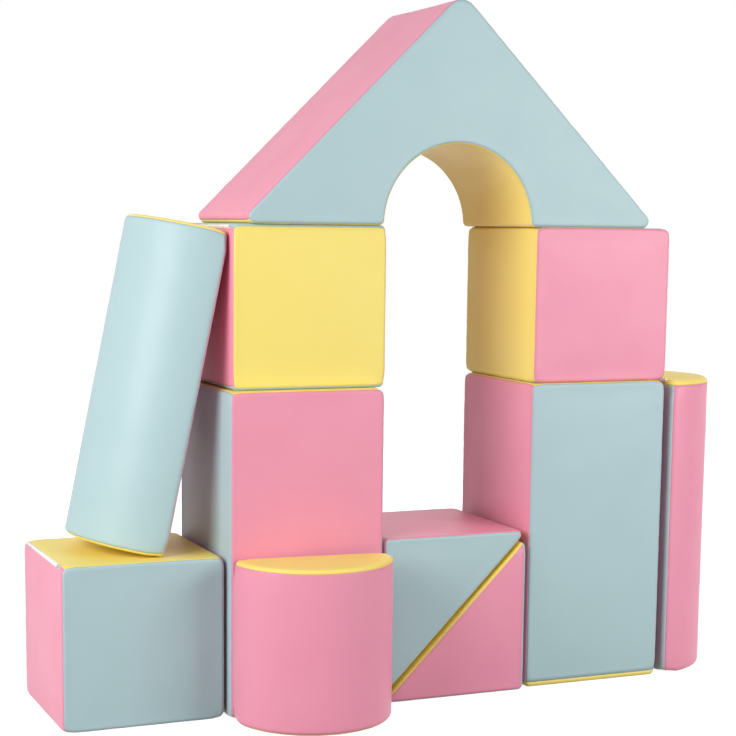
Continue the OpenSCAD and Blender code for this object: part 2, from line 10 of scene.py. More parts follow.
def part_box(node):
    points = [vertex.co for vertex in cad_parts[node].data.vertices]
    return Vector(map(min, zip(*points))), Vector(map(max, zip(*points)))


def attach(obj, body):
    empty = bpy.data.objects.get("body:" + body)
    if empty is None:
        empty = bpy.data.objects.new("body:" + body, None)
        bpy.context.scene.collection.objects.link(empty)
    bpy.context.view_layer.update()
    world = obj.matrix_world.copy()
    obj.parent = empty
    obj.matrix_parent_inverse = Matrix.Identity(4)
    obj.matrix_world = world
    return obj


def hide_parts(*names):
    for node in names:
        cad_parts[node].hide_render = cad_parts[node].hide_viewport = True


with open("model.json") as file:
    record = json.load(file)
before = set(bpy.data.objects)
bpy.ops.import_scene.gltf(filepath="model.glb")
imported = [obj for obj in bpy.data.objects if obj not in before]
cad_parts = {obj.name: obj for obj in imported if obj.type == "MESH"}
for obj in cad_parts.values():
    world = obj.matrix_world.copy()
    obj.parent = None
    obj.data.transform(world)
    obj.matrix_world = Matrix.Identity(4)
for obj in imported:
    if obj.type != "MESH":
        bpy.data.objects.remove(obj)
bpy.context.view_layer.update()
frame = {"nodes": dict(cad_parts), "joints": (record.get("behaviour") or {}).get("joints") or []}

# Left pillar
# A tall foam block in a sewn leatherette cover, cut as six panels that meet in seams on the rounded edges.
# It stands on the floor, and the rest of the set is stacked round it.
MM = 0.001
MODULE = 300 * MM
PILLAR_H = 600 * MM
COVER_T = 1.5 * MM
RIM_R = 7 * MM
CORNER_R = 10 * MM
CELL = 8 * MM
ROUND_STEPS = 6
WELD = 0.01 * MM


def walk_outline(bm, rounds):
    """A closed outline in x and z, walked from round to round: (centre, radius, start, sweep, steps)."""
    starts = [
        Vector((x + r * math.cos(math.radians(start)), 0, z + r * math.sin(math.radians(start))))
        for (x, z), r, start, _, _ in rounds
    ]
    point = bmesh.ops.create_vert(bm, co=starts[0])["vert"][0]
    for i, ((x, z), _, _, sweep, steps) in enumerate(rounds):
        turn = Matrix.Rotation(math.radians(sweep / steps), 3, (0, -1, 0))
        for _ in range(steps):
            point = bmesh.ops.extrude_vert_indiv(bm, verts=[point])["verts"][0]
            bmesh.ops.rotate(bm, cent=(x, 0, z), matrix=turn, verts=[point])
        side = starts[(i + 1) % len(starts)] - point.co
        runs = max(1, round(side.length / CELL))
        for _ in range(runs if side.length > WELD else 0):
            point = bmesh.ops.extrude_vert_indiv(bm, verts=[point])["verts"][0]
            bmesh.ops.translate(bm, vec=side / runs, verts=[point])
    bmesh.ops.remove_doubles(bm, verts=bm.verts, dist=WELD)
    return bmesh.ops.contextual_create(bm, geom=bm.edges[:])["faces"][0]


def cut_cover(rounds, depth, lines_x, lines_z, rim=RIM_R):
    """The cover as cut and sewn, still flat: an outline carried from front to back, with rounded rims."""
    bm = bmesh.new()
    outline = walk_outline(bm, rounds)
    pulled = bmesh.ops.extrude_face_region(bm, geom=[outline])["geom"]
    bmesh.ops.translate(bm, vec=(0, depth, 0), verts=[v for v in pulled if isinstance(v, bmesh.types.BMVert)])
    bmesh.ops.recalc_face_normals(bm, faces=bm.faces)
    rims = [e for e in bm.edges if abs(e.verts[0].co.y - e.verts[1].co.y) < WELD]
    bmesh.ops.bevel(
        bm, geom=rims, offset=rim, offset_type="OFFSET", segments=ROUND_STEPS, profile=0.5,
        affect="EDGES", material=-1,
    )
    runs = round((depth - 2 * rim) / CELL)
    for i in range(1, runs):
        bmesh.ops.bisect_plane(
            bm, geom=bm.verts[:] + bm.edges[:] + bm.faces[:], dist=WELD,
            plane_co=(0, rim + (depth - 2 * rim) * i / runs, 0), plane_no=(0, 1, 0),
        )
    bm.normal_update()
    caps = [f for f in bm.faces if abs(f.normal.y) > 0.9999]
    for axis, lines in ((Vector((1, 0, 0)), lines_x), (Vector((0, 0, 1)), lines_z)):
        for value in lines:
            rings = {e for f in caps for e in f.edges}
            points = {v for f in caps for v in f.verts}
            cut = bmesh.ops.bisect_plane(
                bm, geom=list(points) + list(rings) + caps, dist=10 * WELD,
                plane_co=axis * value, plane_no=axis,
            )["geom"]
            caps = [f for f in cut if isinstance(f, bmesh.types.BMFace)]
    bm.normal_update()
    return bm


def lines_between(low, high):
    """Places of the grid lines across a panel, a cell apart."""
    runs = max(1, round((high - low) / CELL))
    return [low + (high - low) * i / runs for i in range(runs + 1)]


def box_rounds(width, height):
    low, right, top = CORNER_R, width - CORNER_R, height - CORNER_R
    return [
        ((low, low), CORNER_R, 180, 90, ROUND_STEPS), ((right, low), CORNER_R, 270, 90, ROUND_STEPS),
        ((right, top), CORNER_R, 0, 90, ROUND_STEPS), ((low, top), CORNER_R, 90, 90, ROUND_STEPS),
    ]


def sort_panels(bm, scores):
    """Gives each face to the panel that scores highest for its direction and place."""
    panel = bm.faces.layers.int.new("panel")
    for face in bm.faces:
        found = scores(face.normal, face.calc_center_median())
        face[panel] = found.index(max(found))
    return panel


def cut_box(height, wrap, skirt=0):
    """A box cover: ends, sides, and caps wrapped over the edges. The lower cap's sides reach up by skirt."""
    bm = cut_cover(
        box_rounds(MODULE, height), MODULE,
        lines_between(CORNER_R, MODULE - CORNER_R), lines_between(CORNER_R, height - CORNER_R),
    )

    def scores(n, c):
        if c.z < skirt:
            return [0, 0, 1]
        return [abs(n.y), abs(n.x), abs(n.z) * wrap]

    sort_panels(bm, scores)
    return bm


def link(name, mesh):
    piece = bpy.data.objects.new(name, mesh)
    bpy.context.scene.collection.objects.link(piece)
    return piece


SIM_VOXEL = 12 * MM
SEWN = 15 * MM
SIM_FRAMES = 20
PRESSURE = 4
SHRINK = 5 * MM
GROOVE = 0.7 * MM
WELT = 0.25 * MM
WAVE = 0.5 * MM
WAVE_SIZE = 75 * MM
PUCKER = 0.45 * MM
PUCKER_SIZE = 16 * MM
PUCKER_REACH = 11 * MM
WELT_SHARPNESS = 3
# A face counts as resting on something where it turns this far towards it, as a cosine.
RESTING = 0.7
# The swelling is scaled so that this percentage of the points stays within a panel's rise.
SWELL_RANK = 99.5
NEAREST = 4
CORNER_SOFT = 2.5 * MM
CORNER_REACH = 20 * MM


def soften_corners(bm, depth, reach):
    """Draws in the corners where three panels meet: the soft foam there can't fill the cover to a point."""
    panel = bm.faces.layers.int["panel"]
    bm.normal_update()
    corners = [(v.co.copy(), v.normal.copy()) for v in bm.verts if len({f[panel] for f in v.link_faces}) > 2]
    for v in bm.verts:
        near, normal = min(corners, key=lambda corner: (corner[0] - v.co).length_squared)
        share = 1 - ((near - v.co).length / reach) ** 2
        if share > 0:
            v.co -= normal * depth * share * share
    bm.normal_update()


def near_seams(bm):
    """A tree of points along every seam, and the seams' own vertices."""
    panel = bm.faces.layers.int["panel"]
    seams = [e for e in bm.edges if len({f[panel] for f in e.link_faces}) > 1]
    tree = kdtree.KDTree(3 * len(seams))
    for i, edge in enumerate(seams):
        a, b = (v.co for v in edge.verts)
        for j, point in enumerate((a, (a + b) / 2, b)):
            tree.insert(point, 3 * i + j)
    tree.balance()
    return tree, {v for e in seams for v in e.verts}


def fill_cover(name, bm, rise, still):
    """Fills the cover with foam: a coarse copy swells between its sewn seams, and the cover goes with it."""
    tree, sewn = near_seams(bm)
    mesh = bpy.data.meshes.new(name)
    bm.to_mesh(mesh)
    foam = link(name, mesh)
    remesh = foam.modifiers.new("voxels", "REMESH")
    remesh.mode = "VOXEL"
    remesh.voxel_size = SIM_VOXEL
    bpy.context.view_layer.update()
    coarse = bpy.data.meshes.new_from_object(foam.evaluated_get(bpy.context.evaluated_depsgraph_get()))
    foam.modifiers.clear()
    foam.data = coarse
    coarse.name = name
    bpy.data.meshes.remove(mesh)
    start = np.array([v.co for v in coarse.vertices])
    normals = np.array([v.normal for v in coarse.vertices])
    moved = np.zeros_like(start)
    group = foam.vertex_groups.new(name="sewn")
    group.add([v.index for v in coarse.vertices if tree.find(v.co)[2] < SEWN], 1, "REPLACE")
    cloth = foam.modifiers.new("filling", "CLOTH")
    cloth.settings.vertex_group_mass = "sewn"
    cloth.settings.use_pressure = True
    cloth.settings.uniform_pressure_force = PRESSURE
    cloth.settings.effector_weights.gravity = 0
    cloth.collision_settings.use_collision = False
    cloth.point_cache.frame_end = SIM_FRAMES
    for step in range(1, SIM_FRAMES + 1):
        bpy.context.scene.frame_set(step)
    swollen = foam.evaluated_get(bpy.context.evaluated_depsgraph_get()).data
    moved = np.array([v.co for v in swollen.vertices]) - start
    foam.modifiers.clear()
    foam.vertex_groups.clear()
    bpy.context.scene.frame_set(1)
    moved *= rise / np.percentile(np.linalg.norm(moved, axis=1), SWELL_RANK)
    for direction in still:
        moved[normals @ np.array(direction) > RESTING] = 0
    coarse.vertices.foreach_set("co", (start + moved - normals * SHRINK).astype(np.float32).ravel())
    coarse.update()

    points = kdtree.KDTree(len(start))
    for i, point in enumerate(start):
        points.insert(point, i)
    points.balance()
    distance = bm.verts.layers.float.new("seam")
    bm.normal_update()
    shifts = {}
    for v in bm.verts:
        gap = tree.find(v.co)[2]
        v[distance] = gap
        found = points.find_n(v.co, NEAREST)
        weights = [1 / (d + MM) for _, _, d in found]
        push = sum((Vector(moved[i]) * w for (_, i, _), w in zip(found, weights)), Vector()) / sum(weights)
        rests = any(v.normal.dot(Vector(d)) > RESTING for d in still)
        if rests:
            push = Vector()
        open_panel = 1 - math.exp(-((gap / (2 * PUCKER_REACH)) ** 2))
        beside = math.exp(-((gap / PUCKER_REACH) ** 2))
        lift = PUCKER * beside * noise.noise(v.co / PUCKER_SIZE) * (0 if v in sewn else 1)
        if not rests:
            lift += WAVE * open_panel * noise.noise(v.co / WAVE_SIZE)
        lift += -GROOVE if v in sewn else WELT * math.exp(-((gap / RIM_R * 2 - 1) ** 2) * WELT_SHARPNESS)
        shifts[v] = push * open_panel + v.normal * lift
    for v, shift in shifts.items():
        v.co += shift
    return foam


def linear(hex_colour):
    """An sRGB hex value as linear colour."""
    values = [int(hex_colour[i : i + 2], 16) / 255 for i in (1, 3, 5)]
    return [v / 12.92 if v <= 0.04045 else ((v + 0.055) / 1.055) ** 2.4 for v in values] + [1]


def add(tree, kind, values=(), links=(), **settings):
    """Adds one node: its own settings, the values of its sockets, and what its sockets are linked to."""
    node = tree.nodes.new(kind)
    for name, value in settings.items():
        setattr(node, name, value)
    for socket, value in dict(values).items():
        node.inputs[socket].default_value = value
    for socket, source in dict(links).items():
        tree.links.new(source, node.inputs[socket])
    return node


def new_material(name):
    """An empty material with its output node."""
    material = bpy.data.materials.new(name)
    material.use_nodes = True
    material.node_tree.nodes.clear()
    return material, material.node_tree, add(material.node_tree, "ShaderNodeOutputMaterial")


# Grain cells of embossed leatherette are about 1 mm; they are drawn at 3 mm, so that they show at all.
GRAIN = 3 * MM
# Slow changes of tone where the sheet is pulled over the foam, and painted shade: a darker line along each
# seam.
TONE_SIZE = 110 * MM
TONE_SHARE = 0.35
SEAM_SHADE_W = 9 * MM
SEAM_SHADE_SHARE = 0.3


def leatherette(name, lit, deep_tone_and_seam_shade):
    """Leatherette: PVC-coated knit. Its fine embossed grain gives a soft, even sheen and no mirror."""
    material, tree, out = new_material(name)
    place = add(tree, "ShaderNodeTexCoord").outputs["Object"]
    seam = add(tree, "ShaderNodeAttribute", attribute_name="seam").outputs["Fac"]
    # Nearness to a seam: the mask of the painted shade along each seam.
    beside = add(
        tree, "ShaderNodeMapRange",
        [("From Min", 0), ("From Max", SEAM_SHADE_W), ("To Min", 1), ("To Max", 0)], [("Value", seam)],
        interpolation_type="SMOOTHSTEP",
    ).outputs["Result"]
    tone = add(
        tree, "ShaderNodeTexNoise", [("Scale", 1 / TONE_SIZE), ("Detail", 3), ("Roughness", 0.5)],
        [("Vector", place)],
    ).outputs["Fac"]
    shade = add(tree, "ShaderNodeMath", [(1, TONE_SHARE)], [(0, tone)], operation="MULTIPLY").outputs["Value"]
    # Near the seams the colour goes towards the deep one: painted shade along each seam.
    shade = add(
        tree, "ShaderNodeMath", [(1, SEAM_SHADE_SHARE)], [(0, beside), (2, shade)],
        operation="MULTIPLY_ADD", use_clamp=True,
    ).outputs["Value"]
    colour = add(
        tree, "ShaderNodeMix", [("A", linear(lit)), ("B", linear(deep_tone_and_seam_shade))], [("Factor", shade)],
        data_type="RGBA",
    )
    grain = add(
        tree, "ShaderNodeTexVoronoi", [("Scale", 1 / GRAIN), ("Smoothness", 0.6)], [("Vector", place)],
        feature="SMOOTH_F1",
    ).outputs["Distance"]
    rough = add(
        tree, "ShaderNodeMapRange", [("To Min", 0.4), ("To Max", 0.52)], [("Value", tone)]
    ).outputs["Result"]
    bump = add(
        tree, "ShaderNodeBump", [("Strength", 0.22), ("Distance", 0.2 * MM)], [("Height", grain)]
    ).outputs["Normal"]
    skin = add(
        tree, "ShaderNodeBsdfPrincipled", [("Specular IOR Level", 0.4), ("IOR", 1.5)],
        [("Base Color", colour.outputs["Result"]), ("Roughness", rough), ("Normal", bump)],
    )
    tree.links.new(skin.outputs["BSDF"], out.inputs["Surface"])
    return material


# Each cover's colour and its deeper one, which gives random tone and the painted shade along the seams.
COVERS = {
    "pink": leatherette("pink_leatherette", "#EE9AB1", "#E1809D"),
    "blue": leatherette("blue_leatherette", "#AFC9CC", "#9CB8BD"),
    "yellow": leatherette("yellow_leatherette", "#F6E27A", "#F0D15C"),
}
foam_material, tree, out = new_material("polyurethane_foam")
# Open-celled foam scatters light evenly; its 0.6 mm cells are drawn at 2 mm.
cells = add(
    tree, "ShaderNodeTexVoronoi", [("Scale", 1 / (2 * MM))],
    [("Vector", add(tree, "ShaderNodeTexCoord").outputs["Object"])],
).outputs["Distance"]
pores = add(tree, "ShaderNodeBump", [("Strength", 0.5), ("Distance", 0.5 * MM)], [("Height", cells)])
body = add(
    tree, "ShaderNodeBsdfPrincipled", [("Base Color", linear("#F3EBD3")), ("Roughness", 0.95)],
    [("Normal", pores.outputs["Normal"])],
)
tree.links.new(body.outputs["BSDF"], out.inputs["Surface"])

UP, DOWN, LEFT = (0, 0, 1), (0, 0, -1), (-1, 0, 0)
COVER_EASE = 0.3 * MM


def sew_block(block, bm, place, colours, rise, still, soft=CORNER_SOFT, reach=CORNER_REACH):
    """Fills the cover at its place, then parts it into one piece for each colour of panel."""
    soften_corners(bm, soft, reach)
    bm.transform(place)
    foam = fill_cover(block + "_core", bm, rise, still)
    foam.data.materials.append(foam_material)
    foam.data.shade_smooth()
    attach(foam, block)
    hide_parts(block + "_foam")
    for index, colour in enumerate(colours):
        part = bm.copy()
        panel = part.faces.layers.int["panel"]
        bmesh.ops.delete(part, geom=[f for f in part.faces if f[panel] != index], context="FACES")
        mesh = bpy.data.meshes.new(f"{block}_{colour}_cover")
        part.to_mesh(mesh)
        part.free()
        mesh.shade_smooth()
        mesh.materials.append(COVERS[colour])
        piece = link(mesh.name, mesh)
        wall = piece.modifiers.new("wall", "SOLIDIFY")
        wall.thickness = COVER_T - COVER_EASE
        wall.offset = -1
        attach(piece, block)
        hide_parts(f"{block}_{colour}")
    bm.free()


def block_corner(block):
    """The low and high corners of a block's cover, from its foam."""
    low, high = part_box(block + "_foam")
    cover = Vector((COVER_T, COVER_T, COVER_T))
    return low - cover, high + cover


# Painted die-cast zinc: tumbled castings keep a faint unevenness under the dull grey paint, drawn at 1.5 mm.
zinc, tree, out = new_material("painted_zinc")
uneven = add(
    tree, "ShaderNodeTexNoise", [("Scale", 1 / (1.5 * MM)), ("Detail", 2)],
    [("Vector", add(tree, "ShaderNodeTexCoord").outputs["Object"])],
).outputs["Fac"]
worn = add(
    tree, "ShaderNodeMapRange", [("To Min", 0.32), ("To Max", 0.5)], [("Value", uneven)]
).outputs["Result"]
dents = add(tree, "ShaderNodeBump", [("Strength", 0.15), ("Distance", 0.1 * MM)], [("Height", uneven)])
paint = add(
    tree, "ShaderNodeBsdfPrincipled", [("Base Color", linear("#C4C6C1")), ("Metallic", 0.6)],
    [("Roughness", worn), ("Normal", dents.outputs["Normal"])],
)
tree.links.new(paint.outputs["BSDF"], out.inputs["Surface"])


def zip_materials(dye, tint, shadow):
    """Woven polyester tape, matt with fine twill lines, and the smoother nylon of the coil and the thread."""
    tape, tree, out = new_material(dye + "_polyester_tape")
    place = add(tree, "ShaderNodeTexCoord").outputs["Object"]
    # Twill lines of 0.6 mm, drawn at 1.2 mm.
    twill = add(
        tree, "ShaderNodeTexWave", [("Scale", 0.05 / (1.2 * MM)), ("Distortion", 1), ("Detail", 1)],
        [("Vector", place)], bands_direction="DIAGONAL",
    ).outputs["Fac"]
    colour = add(
        tree, "ShaderNodeMix", [("A", linear(shadow)), ("B", linear(tint))], [("Factor", twill)],
        data_type="RGBA",
    )
    threads = add(tree, "ShaderNodeBump", [("Strength", 0.4), ("Distance", 0.2 * MM)], [("Height", twill)])
    cloth = add(
        tree, "ShaderNodeBsdfPrincipled", [("Roughness", 0.85), ("Specular IOR Level", 0.2)],
        [("Base Color", colour.outputs["Result"]), ("Normal", threads.outputs["Normal"])],
    )
    tree.links.new(cloth.outputs["BSDF"], out.inputs["Surface"])
    coil, tree, out = new_material(dye + "_nylon")
    mottle = add(
        tree, "ShaderNodeTexNoise", [("Scale", 1 / (4 * MM))],
        [("Vector", add(tree, "ShaderNodeTexCoord").outputs["Object"])],
    ).outputs["Fac"]
    gloss = add(tree, "ShaderNodeMapRange", [("To Min", 0.3), ("To Max", 0.45)], [("Value", mottle)])
    nylon = add(
        tree, "ShaderNodeBsdfPrincipled", [("Base Color", linear(tint))],
        [("Roughness", gloss.outputs["Result"])],
    )
    tree.links.new(nylon.outputs["BSDF"], out.inputs["Surface"])
    return tape, coil


ZIPS = {
    "white": zip_materials("white", "#ECEAE6", "#D6D3CE"),
    "pink": zip_materials("pink", "#EFA0B7", "#DB8AA2"),
    "blue": zip_materials("blue", "#AAC7CB", "#94B1B6"),
    "yellow": zip_materials("yellow", "#F3DC6C", "#DFC655"),
}
ZIP_MARGIN = 20 * MM
TAPE_W = 8 * MM
TAPE_T = 1 * MM
TAPE_STEPS = 8
TAPE_PROUD = 0.6 * MM
TOOTH = (0.95 * MM, 1.5 * MM, 0.9 * MM)
TOOTH_PITCH = 2.4 * MM
STITCH = (0.9 * MM, 0.35 * MM, 0.3 * MM)
STOP_L = 3 * MM
STOP_W = 4.2 * MM
STOP_H = 2.4 * MM


def bent(across, radius, flat):
    """Where a point of the tape lies, in y and z: bent over the edge's round, or on the flat beside it."""
    if across * flat > 0:
        return Vector((0, across, radius))
    return Vector((0, radius * math.sin(across / radius), radius * math.cos(across / radius)))


def add_zip_piece(name, block, bm, placed, materials):
    """One piece of a zip, put on its edge."""
    bm.transform(placed)
    mesh = bpy.data.meshes.new(name)
    bm.to_mesh(mesh)
    bm.free()
    mesh.shade_smooth()
    for material in materials:
        mesh.materials.append(material)
    piece = link(name, mesh)
    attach(piece, block)
    return piece


def sew_zip(block, place, start, along, out, radius, run, dye, flat=0):
    """A zip on an edge: tape bent over the round, end stops, the coil's teeth, stitches, and the slider."""
    along, out = Vector(along).normalized(), Vector(out).normalized()
    placed = place @ Matrix.Translation(start) @ Matrix((along, out.cross(along), out)).transposed().to_4x4()
    tape_material, coil_material = ZIPS[dye]
    top = radius + TAPE_PROUD
    bm = bmesh.new()
    spots = [bent(TAPE_W * (i / TAPE_STEPS - 0.5), top, flat) for i in range(TAPE_STEPS + 1)]
    point = bmesh.ops.create_vert(bm, co=spots[0])["vert"][0]
    for spot in spots[1:]:
        point = bmesh.ops.extrude_vert_indiv(bm, verts=[point])["verts"][0]
        bmesh.ops.translate(bm, vec=spot - point.co, verts=[point])
    pulled = bmesh.ops.extrude_edge_only(bm, edges=bm.edges[:])["geom"]
    bmesh.ops.translate(bm, vec=(run, 0, 0), verts=[v for v in pulled if isinstance(v, bmesh.types.BMVert)])
    bm.normal_update()
    if sum(f.normal.z for f in bm.faces) < 0:
        bmesh.ops.reverse_faces(bm, faces=bm.faces)
    bmesh.ops.solidify(bm, geom=bm.faces[:], thickness=TAPE_T)
    for x in (STOP_L / 2, run - STOP_L / 2):
        clip = bmesh.ops.create_cube(
            bm, size=1, matrix=Matrix.LocRotScale((x, 0, top + STOP_H / 4), None, (STOP_L, STOP_W, STOP_H))
        )["verts"]
        for face in {f for v in clip for f in v.link_faces}:
            face.material_index = 1
        bmesh.ops.bevel(
            bm, geom=list({e for v in clip for e in v.link_edges}), offset=0.6 * MM, segments=3, profile=0.5,
            affect="EDGES", material=-1,
        )
    tape = add_zip_piece(block + "_zip_tape", block, bm, placed, (tape_material, zinc))
    if dye == "white":
        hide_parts(block + "_zip")
    bm = bmesh.new()
    for side in (-1, 1):
        tooth = Vector((STOP_L + (0.5 + side / 4) * TOOTH_PITCH, side * TOOTH[1] / 3, top + TOOTH[2] / 2))
        thread = Vector((STOP_L + TOOTH_PITCH / 2, 0, 0)) + bent(side * (TAPE_W / 2 - MM), top, flat)
        for spot, size in ((tooth, TOOTH), (thread, STITCH)):
            bead = Matrix.LocRotScale(spot, None, size)
            bmesh.ops.create_icosphere(bm, subdivisions=2, radius=1, matrix=bead)
    coil = add_zip_piece(block + "_zip_coil", block, bm, placed, (coil_material,))
    row = coil.modifiers.new("row", "ARRAY")
    row.count = round((run - 2 * STOP_L) / TOOTH_PITCH)
    row.use_relative_offset = False
    row.use_constant_offset = True
    row.constant_offset_displace = placed.to_3x3() @ Vector((TOOTH_PITCH, 0, 0))
    slider = frame["nodes"][block + "_slider"].data
    slider.materials.clear()
    slider.materials.append(zinc)


PANEL_RISE = 3.2 * MM
CAP_WRAP = 0.5
BACK_LEFT, BACK_RIGHT = (-1, 1, 0), (1, 1, 0)
pillar_low = block_corner("left_pillar")[0]
place = Matrix.Translation(pillar_low)
sew_block(
    "left_pillar", cut_box(PILLAR_H, CAP_WRAP), place, ("pink", "blue", "yellow"), PANEL_RISE, (UP, DOWN)
)
sew_zip(
    "left_pillar", place, (RIM_R, MODULE - RIM_R, ZIP_MARGIN), UP, BACK_LEFT, RIM_R,
    PILLAR_H - 2 * ZIP_MARGIN, "blue",
)

# Front cube
# A foam cube in a sewn six-panel cover, with a white zip along its open top left edge.
# It stands on the floor to the left, and carries the leaning half-round.
CUBE_ZIP = MODULE - 2 * ZIP_MARGIN
OPEN_TURN = math.radians(45)
place = Matrix.Translation(block_corner("front_cube")[0])
sew_block("front_cube", cut_box(MODULE, CAP_WRAP), place, ("blue", "pink", "yellow"), PANEL_RISE, (UP, DOWN))
sew_zip(
    "front_cube", place, (CORNER_R, ZIP_MARGIN, MODULE - CORNER_R), (0, 1, 0),
    (-math.sin(OPEN_TURN), 0, math.cos(OPEN_TURN)), CORNER_R, CUBE_ZIP, "white",
)

# Upper left cube
# The same cube with its colours turned, set back a little on the left pillar.
# Its caps wrap over the edges, so that their colour shows from the front, and its zip stays below the roof.
WIDE_WRAP = 3.7
COVERED_TURN = math.radians(62)
place = Matrix.Translation(block_corner("left_cube")[0])
sew_block(
    "left_cube", cut_box(MODULE, WIDE_WRAP), place, ("yellow", "pink", "blue"), PANEL_RISE, (UP, DOWN, LEFT)
)
sew_zip(
    "left_cube", place, (CORNER_R, ZIP_MARGIN, MODULE - CORNER_R), (0, 1, 0),
    (-math.sin(COVERED_TURN), 0, math.cos(COVERED_TURN)), CORNER_R, CUBE_ZIP, "white",
)

# Right pillar
# The second tall foam block in a sewn cover, a doorway's width from the first.
# Its lower cap reaches up past the rounded edges.
place = Matrix.Translation(block_corner("right_pillar")[0])
sew_block(
    "right_pillar", cut_box(PILLAR_H, CAP_WRAP, CORNER_R), place, ("blue", "pink", "yellow"), PANEL_RISE,
    (UP, DOWN),
)
sew_zip(
    "right_pillar", place, (MODULE - RIM_R, MODULE - RIM_R, ZIP_MARGIN), UP, BACK_RIGHT, RIM_R,
    PILLAR_H - 2 * ZIP_MARGIN, "pink",
)

# Upper right cube
# The third foam cube in a sewn six-panel cover, again with its colours turned.
# It sits on the right pillar, with its zip down a back edge.
place = Matrix.Translation(block_corner("right_cube")[0])
sew_block("right_cube", cut_box(MODULE, CAP_WRAP), place, ("pink", "yellow", "blue"), PANEL_RISE, (UP, DOWN))
sew_zip(
    "right_cube", place, (MODULE - RIM_R, MODULE - RIM_R, ZIP_MARGIN), UP, BACK_RIGHT, RIM_R,
    CUBE_ZIP, "yellow",
)

# Wedges
# Two triangular foam blocks in sewn covers. The lower one lies with its right angle at the right pillar's
# foot, and the upper one lies on it, turned over, so that their sloping yellow panels meet.
TIP_R = 8.2 * MM
TIP_STEPS = 9
SLOPE_PROUD = 3 * MM
SLOPE_CROWN = 2.8 * MM
LEG_ZIP_Z = 274.7 * MM
LOWER_END_SHARE = 0.35
UPPER_END_SHARE = 1.2
FOOT_FACING = -0.5
# The slope's crown fades out towards the tips, over a few tip radii.
CROWN_FADE = 3
CROWN_START = 0.5
tip_x = TIP_R / math.tan(math.radians(22.5)) - SLOPE_PROUD * math.sqrt(2)
wedge_rounds = [
    ((tip_x, TIP_R), TIP_R, 135, 135, TIP_STEPS),
    ((MODULE - CORNER_R, CORNER_R), CORNER_R, 270, 90, ROUND_STEPS),
    ((MODULE - TIP_R, MODULE - tip_x), TIP_R, 0, 135, TIP_STEPS),
]
SLOPE = Vector((-1, 0, 1)).normalized()


def cut_wedge(end_share):
    """A wedge cover. The less its ends' share, the further the others wrap over, except along the foot."""
    lines = lines_between(tip_x, MODULE - CORNER_R)
    bm = cut_cover(wedge_rounds, MODULE, lines, [MODULE - v for v in lines])

    def scores(n, c):
        around = math.hypot(n.x, n.z)
        leg = max(n.x, -n.z) > n.dot(SLOPE)
        return [abs(n.y) * (1 if n.z < FOOT_FACING * around else end_share), around * leg, around * (not leg)]

    panel = sort_panels(bm, scores)
    slope = {v for f in bm.faces if f[panel] == 2 for v in f.verts}
    for v in slope:
        across = (v.co.y - MODULE / 2) / (MODULE / 2 - RIM_R)
        along = min(v.co.x, MODULE - v.co.x, v.co.z, MODULE - v.co.z) / TIP_R
        fade = min(1, max(0, along / CROWN_FADE - CROWN_START))
        v.co += SLOPE * SLOPE_CROWN * max(0, 1 - across * across) * fade
    bm.normal_update()
    return bm


low, high = block_corner("lower_wedge")
place = Matrix.Translation((high.x - MODULE, low.y, low.z))
sew_block(
    "lower_wedge", cut_wedge(LOWER_END_SHARE), place, ("pink", "blue", "yellow"), PANEL_RISE,
    (DOWN, tuple(SLOPE)),
)
# The tape lies on the flat leg, which counts as a very wide round.
FLAT_R = 1
sew_zip(
    "lower_wedge", place, (MODULE - FLAT_R, ZIP_MARGIN, LEG_ZIP_Z), (0, 1, 0), (1, 0, 0), FLAT_R,
    CUBE_ZIP, "white",
)
low, high = block_corner("upper_wedge")
place = Matrix.Translation((low.x + MODULE, low.y, high.z)) @ Matrix.Rotation(math.pi, 4, "Y")
sew_block(
    "upper_wedge", cut_wedge(UPPER_END_SHARE), place, ("blue", "pink", "yellow"), PANEL_RISE,
    (tuple(-SLOPE), LEFT),
)
sew_zip(
    "upper_wedge", place, (MODULE - RIM_R, MODULE - RIM_R, CORNER_R + ZIP_MARGIN), UP, BACK_RIGHT, RIM_R,
    CUBE_ZIP - CORNER_R, "pink",
)

# Half-rounds
# Three half cylinders of foam in covers sewn from a curved panel, a flat one and two half-moon ends.
# The short one stands in front of the left pillar, one long one leans from the front cube against the
# upper left cube, and the other stands at the right.
HALF_R = 150 * MM
DRUM_H = 300 * MM
COLUMN_H = 600 * MM
CURVE_STEPS = 60
END_R = 10 * MM
SIDE_R = 11.5 * MM
END_SOFT = 5 * MM
END_REACH = 34 * MM
LEAST_GAP = 0.7 * CELL
DRUM_WRAP = 3
LEAN_WRAP = 1.7
FULL_WRAP = 20
side_x = math.sqrt((HALF_R - SIDE_R) ** 2 - SIDE_R ** 2)
side_turn = math.degrees(math.asin(SIDE_R / (HALF_R - SIDE_R)))
half_rounds = [
    ((0, 0), HALF_R, side_turn - 180, 180 - 2 * side_turn, CURVE_STEPS),
    ((side_x, -SIDE_R), SIDE_R, -side_turn, 90 + side_turn, ROUND_STEPS),
    ((-side_x, -SIDE_R), SIDE_R, 90, 90 + side_turn, ROUND_STEPS),
]


def spaced(values, gap):
    """The values in order, without those that lie nearer than gap to the one before."""
    kept = []
    for value in sorted(values):
        if not kept or value - kept[-1] > gap:
            kept.append(value)
    return kept


def cut_half_round(height, top_wrap, foot_wrap):
    """A half-round, cut with its flat upwards, then stood on one end. Its end panels wrap over the edges."""
    step = math.radians(180 - 2 * side_turn) / CURVE_STEPS
    inner = HALF_R - END_R / math.cos(step / 2)
    turns = [math.radians(side_turn - 180) + step * i for i in range(CURVE_STEPS + 1)]
    bm = cut_cover(
        half_rounds, height,
        spaced([inner * math.cos(a) for a in turns], LEAST_GAP),
        spaced([inner * math.sin(a) for a in turns], LEAST_GAP), END_R,
    )

    def scores(n, c):
        around = math.hypot(n.x, n.z)
        flat = n.z > abs(n.x)
        return [around * (not flat), around * flat, max(-n.y * top_wrap, n.y * foot_wrap)]

    sort_panels(bm, scores)
    bm.transform(Matrix.Translation((0, 0, height)) @ Matrix.Rotation(-math.pi / 2, 4, "X"))
    bm.normal_update()
    return bm


